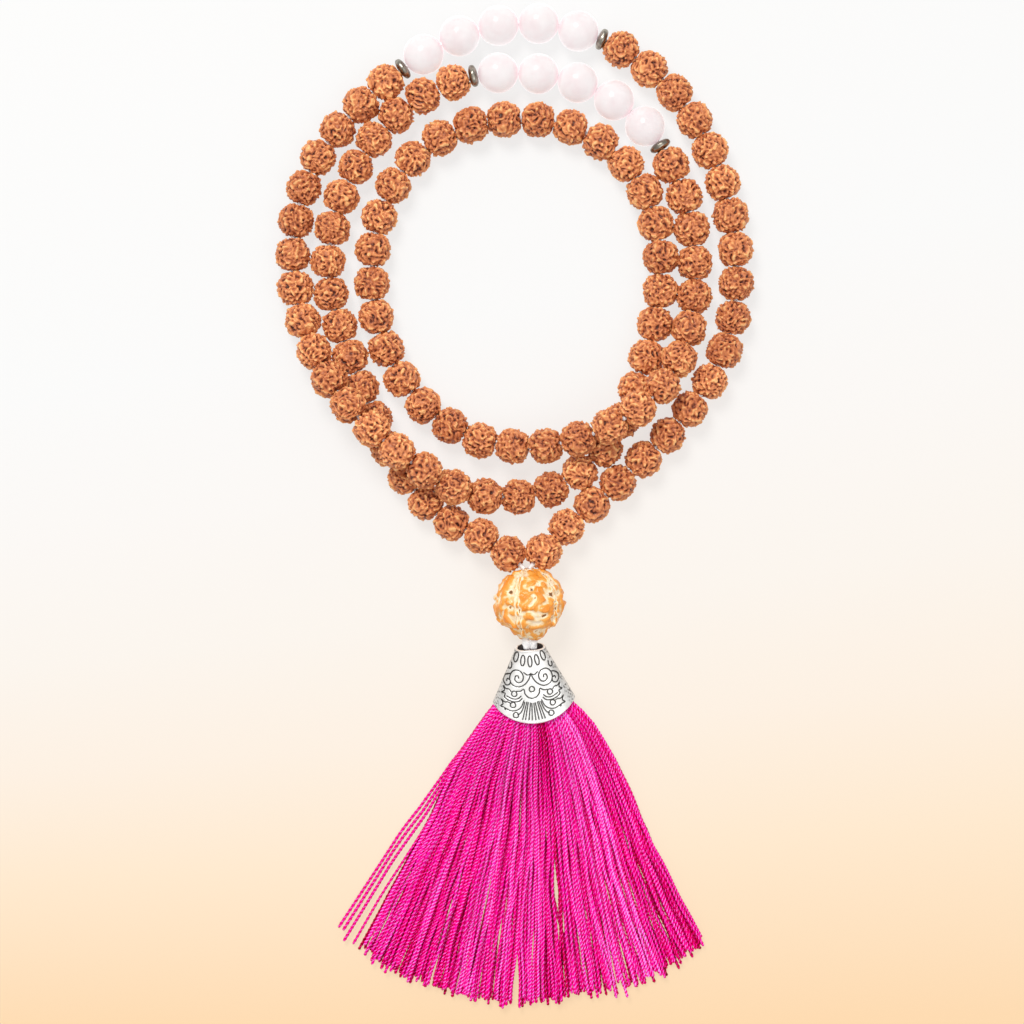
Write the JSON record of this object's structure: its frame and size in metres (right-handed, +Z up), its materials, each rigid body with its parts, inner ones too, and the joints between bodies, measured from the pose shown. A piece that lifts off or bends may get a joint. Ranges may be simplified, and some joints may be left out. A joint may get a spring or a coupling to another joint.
{
  "type": "mala prayer beads",
  "caption": "Mala of rudraksha seeds and rose quartz beads on one closed cord, with a large guru bead, an engraved silver cap and a magenta thread tassel, laid flat in three rings.",
  "frame": {"origin": "on the surface that the mala lies on, under the middle of its whole outline", "axes": "+Z up, -Y towards the tassel's tips, +X to the right when the tassel points towards the viewer"},
  "size_m": [0.1195, 0.2516, 0.0175],
  "materials": {
    "rudraksha": "satin",
    "guru_seed": "satin",
    "rose_quartz": "polished",
    "spacer_metal": "antique",
    "antique_silver": "antique, polished on its high places",
    "white_cord": "matte",
    "tie_thread": "satin",
    "tassel_thread": "satin"
  },
  "bodies": {
    "strand": {"stringing_cord": "white_cord", "guru_cord_pair": "white_cord", "seeds_08_to_13": "rudraksha", "seeds_14_to_19": "rudraksha", "seeds_20_to_25": "rudraksha", "seeds_26_to_31": "rudraksha", "seeds_32_to_37": "rudraksha", "seeds_38_to_43": "rudraksha", "seeds_44_to_49": "rudraksha", "seeds_50_to_55": "rudraksha", "seeds_56_to_61": "rudraksha", "seeds_62_to_67": "rudraksha", "seeds_68_to_73": "rudraksha", "seeds_74_to_79": "rudraksha", "seeds_80_to_85": "rudraksha", "seeds_86_to_91": "rudraksha"},
    "tail": {"tail_knot": "white_cord"},
    "tassel": {"tassel_cap": "antique_silver", "tassel_head": "tassel_thread", "tassel_tie": "tie_thread", "tail_cord_pair": "white_cord"},
    "skirt": {"tassel_lock_1": "tassel_thread", "tassel_lock_2": "tassel_thread", "tassel_lock_3": "tassel_thread", "tassel_lock_4": "tassel_thread", "tassel_lock_5": "tassel_thread", "tassel_lock_6": "tassel_thread", "tassel_lock_7": "tassel_thread"},
    "guru": {"guru_bead": "guru_seed"},
    "bead_quartz_bead_01": {"quartz_bead_01": "rose_quartz"},
    "bead_quartz_bead_02": {"quartz_bead_02": "rose_quartz"},
    "bead_quartz_bead_03": {"quartz_bead_03": "rose_quartz"},
    "bead_quartz_bead_04": {"quartz_bead_04": "rose_quartz"},
    "bead_quartz_bead_05": {"quartz_bead_05": "rose_quartz"},
    "bead_quartz_bead_06": {"quartz_bead_06": "rose_quartz"},
    "bead_quartz_bead_07": {"quartz_bead_07": "rose_quartz"},
    "bead_quartz_bead_08": {"quartz_bead_08": "rose_quartz"},
    "bead_quartz_bead_09": {"quartz_bead_09": "rose_quartz"},
    "bead_quartz_bead_10": {"quartz_bead_10": "rose_quartz"},
    "bead_seed_01": {"seed_01": "rudraksha"},
    "bead_seed_02": {"seed_02": "rudraksha"},
    "bead_seed_03": {"seed_03": "rudraksha"},
    "bead_seed_04": {"seed_04": "rudraksha"},
    "bead_seed_05": {"seed_05": "rudraksha"},
    "bead_seed_06": {"seed_06": "rudraksha"},
    "bead_seed_07": {"seed_07": "rudraksha"},
    "bead_seed_92": {"seed_92": "rudraksha"},
    "bead_seed_93": {"seed_93": "rudraksha"},
    "bead_seed_94": {"seed_94": "rudraksha"},
    "bead_seed_95": {"seed_95": "rudraksha"},
    "bead_seed_96": {"seed_96": "rudraksha"},
    "bead_seed_97": {"seed_97": "rudraksha"},
    "bead_seed_98": {"seed_98": "rudraksha"},
    "bead_spacer_1": {"spacer_1": "spacer_metal"},
    "bead_spacer_2": {"spacer_2": "spacer_metal"},
    "bead_spacer_3": {"spacer_3": "spacer_metal"},
    "bead_spacer_4": {"spacer_4": "spacer_metal"}
  },
  "joints": [
    {"name": "swing_tassel_sideways", "type": "hinge", "parent": "strand", "child": "tail", "pos_m": [0.00392, -0.0328, 0.00875], "axis": [0, 0, 1], "range_deg": [-20, 20]},
    {"name": "lift_tassel", "type": "hinge", "parent": "tail", "child": "tassel", "pos_m": [0.00392, -0.0328, 0.00875], "axis": [-0.9974, -0.0715, 0], "range_deg": [0, 30]},
    {"name": "sway_skirt", "type": "hinge", "parent": "tassel", "child": "skirt", "pos_m": [0.00507, -0.04888, 0.00605], "axis": [0, 0, 1], "range_deg": [-6.5, 6.5]},
    {"name": "turn_guru_bead", "type": "hinge", "parent": "strand", "child": "guru", "pos_m": [0.00375, -0.02325, 0.00875], "axis": [0.0175, -0.9998, 0], "continuous": true},
    {"name": "turn_quartz_bead_01", "type": "hinge", "parent": "strand", "child": "bead_quartz_bead_01", "pos_m": [0.01606, 0.11933, 0.00504], "axis": [-0.9581, 0.2837, 0.0397], "continuous": true},
    {"name": "turn_quartz_bead_02", "type": "hinge", "parent": "strand", "child": "bead_quartz_bead_02", "pos_m": [0.00617, 0.12117, 0.00537], "axis": [-0.9975, 0.0665, 0.0233], "continuous": true},
    {"name": "turn_quartz_bead_03", "type": "hinge", "parent": "strand", "child": "bead_quartz_bead_03", "pos_m": [-0.00388, 0.12062, 0.00549], "axis": [-0.9864, -0.1645, 0.002], "continuous": true},
    {"name": "turn_quartz_bead_04", "type": "hinge", "parent": "strand", "child": "bead_quartz_bead_04", "pos_m": [-0.01362, 0.11803, 0.00541], "axis": [-0.9348, -0.3546, -0.0198], "continuous": true},
    {"name": "turn_quartz_bead_05", "type": "hinge", "parent": "strand", "child": "bead_quartz_bead_05", "pos_m": [-0.0226, 0.11347, 0.00509], "axis": [-0.8422, -0.5375, -0.0424], "continuous": true},
    {"name": "turn_quartz_bead_06", "type": "hinge", "parent": "strand", "child": "bead_quartz_bead_06", "pos_m": [0.03269, 0.09558, 0.00506], "axis": [-0.67, 0.7419, 0.0256], "continuous": true},
    {"name": "turn_quartz_bead_07", "type": "hinge", "parent": "strand", "child": "bead_quartz_bead_07", "pos_m": [0.02497, 0.10199, 0.00523], "axis": [-0.8482, 0.5297, 0.0081], "continuous": true},
    {"name": "turn_quartz_bead_08", "type": "hinge", "parent": "strand", "child": "bead_quartz_bead_08", "pos_m": [0.01591, 0.1064, 0.00526], "axis": [-0.9413, 0.3376, -0.0017], "continuous": true},
    {"name": "turn_quartz_bead_09", "type": "hinge", "parent": "strand", "child": "bead_quartz_bead_09", "pos_m": [0.0061, 0.10864, 0.00519], "axis": [-0.994, 0.1088, -0.0109], "continuous": true},
    {"name": "turn_quartz_bead_10", "type": "hinge", "parent": "strand", "child": "bead_quartz_bead_10", "pos_m": [-0.00398, 0.10889, 0.00505], "axis": [-0.9977, -0.0659, -0.0185], "continuous": true},
    {"name": "turn_seed_01", "type": "hinge", "parent": "strand", "child": "bead_seed_01", "pos_m": [0.00731, -0.01061, 0.00732], "axis": [0.6269, 0.7389, -0.2468], "continuous": true},
    {"name": "turn_seed_02", "type": "hinge", "parent": "strand", "child": "bead_seed_02", "pos_m": [0.01303, -0.0045, 0.00557], "axis": [0.7182, 0.68, -0.1475], "continuous": true},
    {"name": "turn_seed_03", "type": "hinge", "parent": "strand", "child": "bead_seed_03", "pos_m": [0.01948, 0.00105, 0.00472], "axis": [0.7724, 0.6318, -0.0647], "continuous": true},
    {"name": "turn_seed_04", "type": "hinge", "parent": "strand", "child": "bead_seed_04", "pos_m": [0.026, 0.00659, 0.00435], "axis": [0.7498, 0.6614, -0.0204], "continuous": true},
    {"name": "turn_seed_05", "type": "hinge", "parent": "strand", "child": "bead_seed_05", "pos_m": [0.03233, 0.01237, 0.00434], "axis": [0.7282, 0.6853, 0.0129], "continuous": true},
    {"name": "turn_seed_06", "type": "hinge", "parent": "strand", "child": "bead_seed_06", "pos_m": [0.03839, 0.01842, 0.00443], "axis": [0.6804, 0.7328, 0.0057], "continuous": true},
    {"name": "turn_seed_07", "type": "hinge", "parent": "strand", "child": "bead_seed_07", "pos_m": [0.04394, 0.02494, 0.00443], "axis": [0.6144, 0.789, -0.0047], "continuous": true},
    {"name": "turn_seed_92", "type": "hinge", "parent": "strand", "child": "bead_seed_92", "pos_m": [-0.03491, 0.02258, 0.0043], "axis": [0.3856, -0.9227, 0], "continuous": true},
    {"name": "turn_seed_93", "type": "hinge", "parent": "strand", "child": "bead_seed_93", "pos_m": [-0.03145, 0.01508, 0.0043], "axis": [0.465, -0.8853, 0], "continuous": true},
    {"name": "turn_seed_94", "type": "hinge", "parent": "strand", "child": "bead_seed_94", "pos_m": [-0.02713, 0.00805, 0.0043], "axis": [0.5795, -0.815, 0], "continuous": true},
    {"name": "turn_seed_95", "type": "hinge", "parent": "strand", "child": "bead_seed_95", "pos_m": [-0.022, 0.00159, 0.00435], "axis": [0.6737, -0.7387, 0.0215], "continuous": true},
    {"name": "turn_seed_96", "type": "hinge", "parent": "strand", "child": "bead_seed_96", "pos_m": [-0.01564, -0.00352, 0.00494], "axis": [0.8667, -0.483, 0.1249], "continuous": true},
    {"name": "turn_seed_97", "type": "hinge", "parent": "strand", "child": "bead_seed_97", "pos_m": [-0.0082, -0.00681, 0.00623], "axis": [0.9046, -0.3881, 0.176], "continuous": true},
    {"name": "turn_seed_98", "type": "hinge", "parent": "strand", "child": "bead_seed_98", "pos_m": [-0.00142, -0.01114, 0.00772], "axis": [0.7349, -0.6526, 0.1846], "continuous": true},
    {"name": "turn_spacer_1", "type": "hinge", "parent": "strand", "child": "bead_spacer_1", "pos_m": [0.02196, 0.11734, 0.00479], "axis": [-0.9201, 0.3902, 0.0345], "continuous": true},
    {"name": "turn_spacer_2", "type": "hinge", "parent": "strand", "child": "bead_spacer_2", "pos_m": [-0.02776, 0.10998, 0.00481], "axis": [-0.8092, -0.586, -0.0423], "continuous": true},
    {"name": "turn_spacer_3", "type": "hinge", "parent": "strand", "child": "bead_spacer_3", "pos_m": [0.03655, 0.0907, 0.00488], "axis": [-0.5245, 0.8507, 0.036], "continuous": true},
    {"name": "turn_spacer_4", "type": "hinge", "parent": "strand", "child": "bead_spacer_4", "pos_m": [-0.01016, 0.10814, 0.00492], "axis": [-0.9763, -0.2151, -0.0252], "continuous": true}
  ]
}
